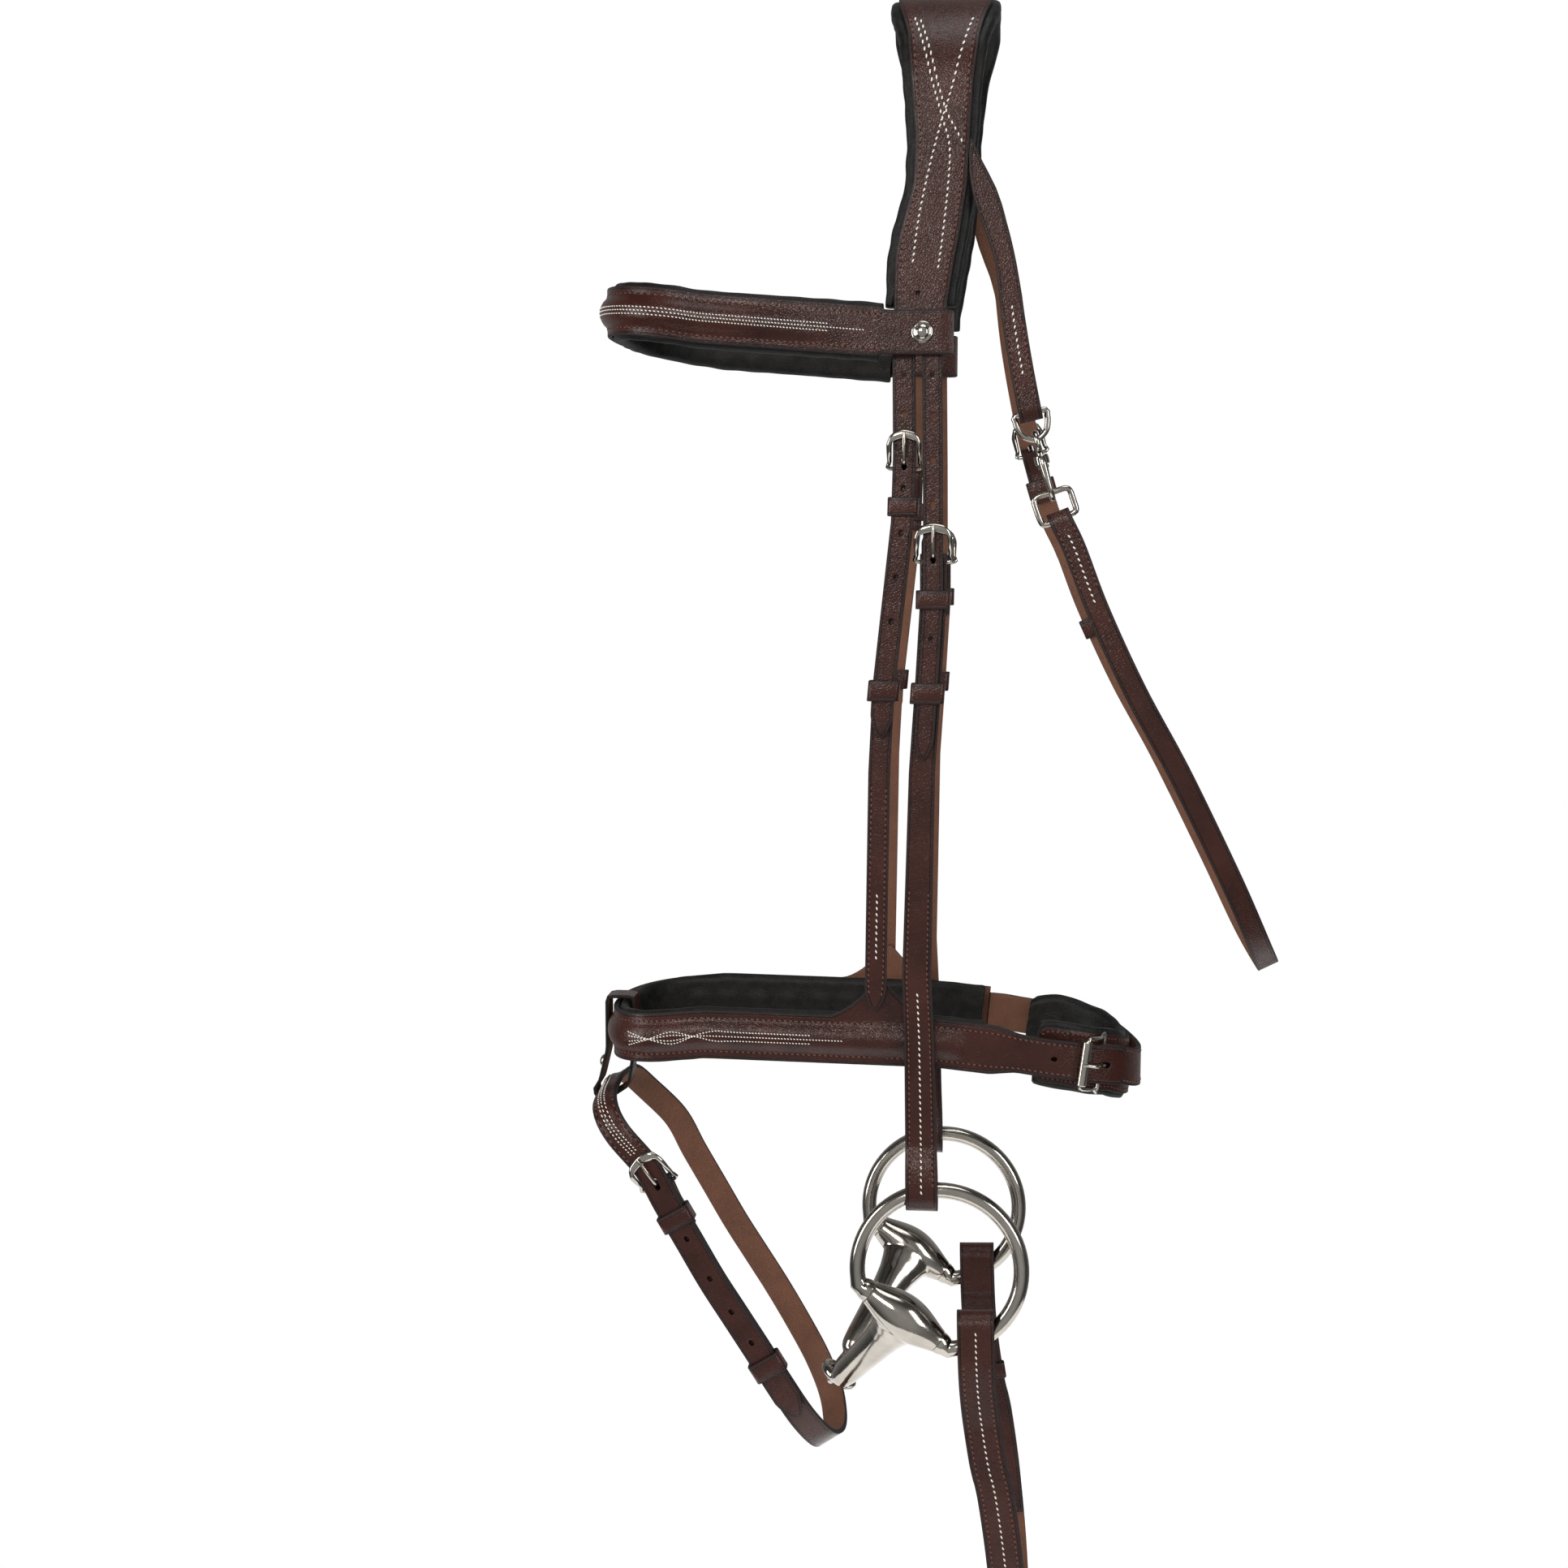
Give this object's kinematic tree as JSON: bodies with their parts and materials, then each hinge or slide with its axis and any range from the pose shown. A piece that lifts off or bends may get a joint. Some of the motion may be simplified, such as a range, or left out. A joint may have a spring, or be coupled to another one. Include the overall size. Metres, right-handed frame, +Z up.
{
  "type": "horse bridle",
  "caption": "Snaffle bridle with padded crown, browband and flash noseband, throatlatch with a snap hook, jointed bit and buckled reins.",
  "frame": {"origin": "underside of the crown's lining at the poll, where the head carries the bridle", "axes": "+X towards the horse's back, +Y to its off side, +Z up"},
  "size_m": [0.3326, 0.1228, 1.0071],
  "materials": {
    "leather": "dark brown, polished",
    "padding": "black, soft",
    "steel": "polished"
  },
  "bodies": {
    "bridle": {"browband": "leather", "browband_lining": "padding", "chin_buckle": "steel", "chin_pad": "padding", "chin_strap": "leather", "crown_lining": "padding", "crown_strap": "leather", "flash_buckle": "steel", "flash_keeper": "leather", "flash_loop": "leather", "flash_runner": "leather", "flash_strap": "leather", "near_browband_stud": "steel", "near_cheek_buckle": "steel", "near_cheek_keeper": "leather", "near_cheekpiece": "leather", "near_hanger": "leather", "near_hanger_buckle": "steel", "near_hanger_keeper": "leather", "near_throat_strap": "leather", "noseband": "leather", "noseband_lining": "padding", "off_browband_stud": "steel", "off_cheek_buckle": "steel", "off_cheek_keeper": "leather", "off_cheekpiece": "leather", "off_hanger": "leather", "off_hanger_buckle": "steel", "off_hanger_keeper": "leather", "off_throat_billet": "leather", "sliphead": "leather", "snap_hook": "steel", "throat_buckle": "steel", "throat_d_ring": "steel", "throat_keeper": "leather", "throat_ring": "steel", "throat_strap": "leather"},
    "near_cheek_tongue": {"near_cheek_tongue": "steel"},
    "near_hanger_tongue": {"near_hanger_tongue": "steel"},
    "off_cheek_tongue": {"off_cheek_tongue": "steel"},
    "off_hanger_tongue": {"off_hanger_tongue": "steel"},
    "chin_tongue": {"chin_tongue": "steel"},
    "flash_tongue": {"flash_tongue": "steel"},
    "throat_tongue": {"throat_tongue": "steel"},
    "rein_tongue": {"rein_tongue": "steel"},
    "near_cheek_runner": {"near_cheek_runner": "leather"},
    "near_hanger_runner": {"near_hanger_runner": "leather"},
    "off_cheek_runner": {"off_cheek_runner": "leather"},
    "off_hanger_runner": {"off_hanger_runner": "leather"},
    "chin_roller": {"chin_roller": "steel"},
    "snap_gate": {"snap_gate": "steel"},
    "snap_swivel": {"snap_swivel": "steel"},
    "bit_rings": {"near_ring": "steel", "off_ring": "steel"},
    "near_arm": {"near_arm": "steel"},
    "off_arm": {"off_arm": "steel"},
    "reins": {"near_rein": "leather", "off_rein": "leather", "rein_buckle": "steel", "rein_tie": "leather"}
  },
  "joints": [
    {"name": "near_cheek_tongue_lift", "type": "hinge", "parent": "bridle", "child": "near_cheek_tongue", "pos_m": [-0.00315, -0.0485, -0.249], "axis": [1, -0.0037, 0.0071], "range_deg": [0, 8]},
    {"name": "near_hanger_tongue_lift", "type": "hinge", "parent": "bridle", "child": "near_hanger_tongue", "pos_m": [-0.01656, -0.046, -0.207], "axis": [1, 0.002, -0.0038], "range_deg": [0, 8]},
    {"name": "off_cheek_tongue_lift", "type": "hinge", "parent": "bridle", "child": "off_cheek_tongue", "pos_m": [-0.00315, 0.0485, -0.249], "axis": [-1, -0.0037, -0.0071], "range_deg": [0, 8]},
    {"name": "off_hanger_tongue_lift", "type": "hinge", "parent": "bridle", "child": "off_hanger_tongue", "pos_m": [-0.01656, 0.046, -0.207], "axis": [-1, 0.002, 0.0038], "range_deg": [0, 8]},
    {"name": "chin_tongue_lift", "type": "hinge", "parent": "bridle", "child": "chin_tongue", "pos_m": [0.0767, -0.03045, -0.48359], "axis": [0.1414, 0.098, 0.9851], "range_deg": [0, 8]},
    {"name": "flash_tongue_lift", "type": "hinge", "parent": "bridle", "child": "flash_tongue", "pos_m": [-0.13154, -0.04215, -0.54504], "axis": [0.8574, -0.037, 0.5133], "range_deg": [0, 8]},
    {"name": "throat_tongue_lift", "type": "hinge", "parent": "bridle", "child": "throat_tongue", "pos_m": [0.04289, 0.0485, -0.196], "axis": [-0.9695, 0.0105, -0.2448], "range_deg": [0, 8]},
    {"name": "rein_tongue_lift", "type": "hinge", "parent": "reins", "child": "rein_tongue", "pos_m": [0.04305, -0.006, -0.9859], "axis": [-1, 0, 0], "range_deg": [0, 8]},
    {"name": "near_cheek_runner_slide", "type": "slide", "parent": "bridle", "child": "near_cheek_runner", "axis": [-0.0631, 0, -0.998], "range_m": [-0.005, 0.008]},
    {"name": "near_hanger_runner_slide", "type": "slide", "parent": "bridle", "child": "near_hanger_runner", "axis": [-0.0846, 0, -0.9964], "range_m": [-0.003, 0.004]},
    {"name": "off_cheek_runner_slide", "type": "slide", "parent": "bridle", "child": "off_cheek_runner", "axis": [-0.0631, 0, -0.998], "range_m": [-0.005, 0.008]},
    {"name": "off_hanger_runner_slide", "type": "slide", "parent": "bridle", "child": "off_hanger_runner", "axis": [-0.0846, 0, -0.9964], "range_m": [-0.003, 0.004]},
    {"name": "roller_turn", "type": "hinge", "parent": "bridle", "child": "chin_roller", "pos_m": [0.06842, -0.04438, -0.48102], "axis": [0.1818, 0.0684, 0.981], "continuous": true},
    {"name": "gate_open", "type": "hinge", "parent": "bridle", "child": "snap_gate", "pos_m": [0.04601, -0.0466, -0.20707], "axis": [-0.9586, 0, -0.2847], "range_deg": [0, 16], "stiffness_Nm_per_rad": 0.003},
    {"name": "swivel_turn", "type": "hinge", "parent": "bridle", "child": "snap_swivel", "pos_m": [0.04396, -0.0506, -0.19986], "axis": [0.2735, 0, -0.9619], "range_deg": [-8, 8]},
    {"name": "bit_turn", "type": "hinge", "parent": "bridle", "child": "bit_rings", "pos_m": [0.002, 0, -0.58], "axis": [0, 1, 0], "range_deg": [-20, 20]},
    {"name": "near_arm_turn", "type": "hinge", "parent": "bit_rings", "child": "near_arm", "pos_m": [-0.01448, -0.0496, -0.60311], "axis": [0.8141, 0, -0.5807], "range_deg": [0, 2.2]},
    {"name": "off_arm_turn", "type": "hinge", "parent": "bit_rings", "child": "off_arm", "pos_m": [-0.01448, 0.0496, -0.60311], "axis": [-0.8141, 0, 0.5807], "range_deg": [0, 2.2]},
    {"name": "rein_swing", "type": "hinge", "parent": "bit_rings", "child": "reins", "pos_m": [0.002, 0, -0.58], "axis": [0, -1, 0], "range_deg": [-8, 60]}
  ],
  "couplings": [
    {"joint": "off_arm_turn", "follows": "near_arm_turn", "ratio": 1}
  ]
}
